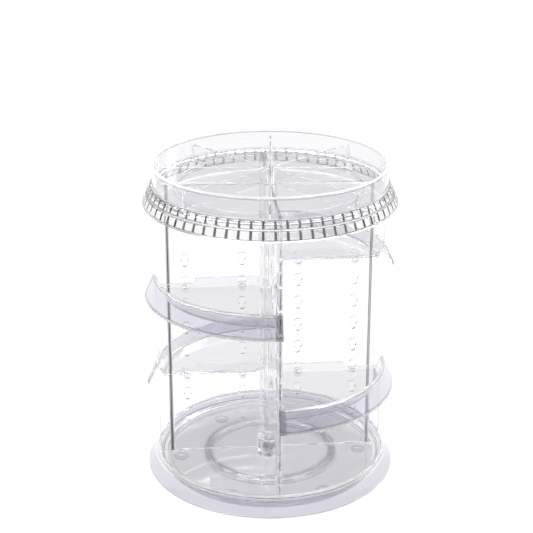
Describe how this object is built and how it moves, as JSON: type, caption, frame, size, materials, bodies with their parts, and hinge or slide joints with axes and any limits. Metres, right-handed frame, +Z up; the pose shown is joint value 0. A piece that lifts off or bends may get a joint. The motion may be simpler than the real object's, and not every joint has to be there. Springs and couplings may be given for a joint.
{
  "type": "rotating makeup organizer",
  "caption": "Clear plastic makeup organizer: a round tower of quarter trays hung on keyholed panels, with a divided top tray and a faceted ring, that turns on a ball-race base.",
  "frame": {"origin": "on the table, under the centre of the base", "axes": "+Z up along the tower's axis; the four panels lie along X and Y; -Y is the front"},
  "size_m": [0.25, 0.25, 0.32],
  "materials": {
    "clear_plastic": "clear, polished",
    "base_plastic": "clear, lightly frosted",
    "race_plastic": "natural white, satin",
    "ball_steel": "polished",
    "bolt_steel": "plated",
    "foot_rubber": "soft, translucent grey"
  },
  "bodies": {
    "base": {"turntable_base": "base_plastic", "rubber_feet": "foot_rubber", "lower_race": "race_plastic"},
    "bearing": {"ball_cage": "race_plastic", "bearing_balls": "ball_steel"},
    "tower": {"upper_race": "race_plastic", "spindle_bolt": "bolt_steel", "spindle_washer": "bolt_steel", "spindle_nut": "bolt_steel", "floor_tray": "clear_plastic", "centre_post": "clear_plastic", "panel_right": "clear_plastic", "panel_back": "clear_plastic", "panel_left": "clear_plastic", "panel_front": "clear_plastic"},
    "tray_back_right": {"tray_back_right": "clear_plastic"},
    "tray_back_left": {"tray_back_left": "clear_plastic"},
    "tray_front_left": {"tray_front_left": "clear_plastic"},
    "tray_front_right": {"tray_front_right": "clear_plastic"},
    "top": {"top_tray": "clear_plastic", "facet_ring": "clear_plastic"},
    "divider": {"star_divider": "clear_plastic"}
  },
  "joints": [
    {"name": "turntable_spin", "type": "hinge", "parent": "base", "child": "tower", "pos_m": [0, 0, 0], "axis": [0, 0, 1], "continuous": true},
    {"name": "cage_spin", "type": "hinge", "parent": "base", "child": "bearing", "pos_m": [0, 0, 0], "axis": [0, 0, 1], "continuous": true},
    {"name": "tray_back_right_lift", "type": "slide", "parent": "tower", "child": "tray_back_right", "axis": [0, 0, 1], "range_m": [0, 0.0066]},
    {"name": "tray_back_left_lift", "type": "slide", "parent": "tower", "child": "tray_back_left", "axis": [0, 0, 1], "range_m": [0, 0.0066]},
    {"name": "tray_front_left_lift", "type": "slide", "parent": "tower", "child": "tray_front_left", "axis": [0, 0, 1], "range_m": [0, 0.0066]},
    {"name": "tray_front_right_lift", "type": "slide", "parent": "tower", "child": "tray_front_right", "axis": [0, 0, 1], "range_m": [0, 0.0066]},
    {"name": "top_tray_lift_off", "type": "slide", "parent": "tower", "child": "top", "axis": [0, 0, 1], "range_m": [0, 0.03]},
    {"name": "star_divider_lift_out", "type": "slide", "parent": "top", "child": "divider", "axis": [0, 0, 1], "range_m": [0, 0.03]}
  ],
  "couplings": [
    {"joint": "cage_spin", "follows": "turntable_spin", "ratio": 0.5}
  ]
}
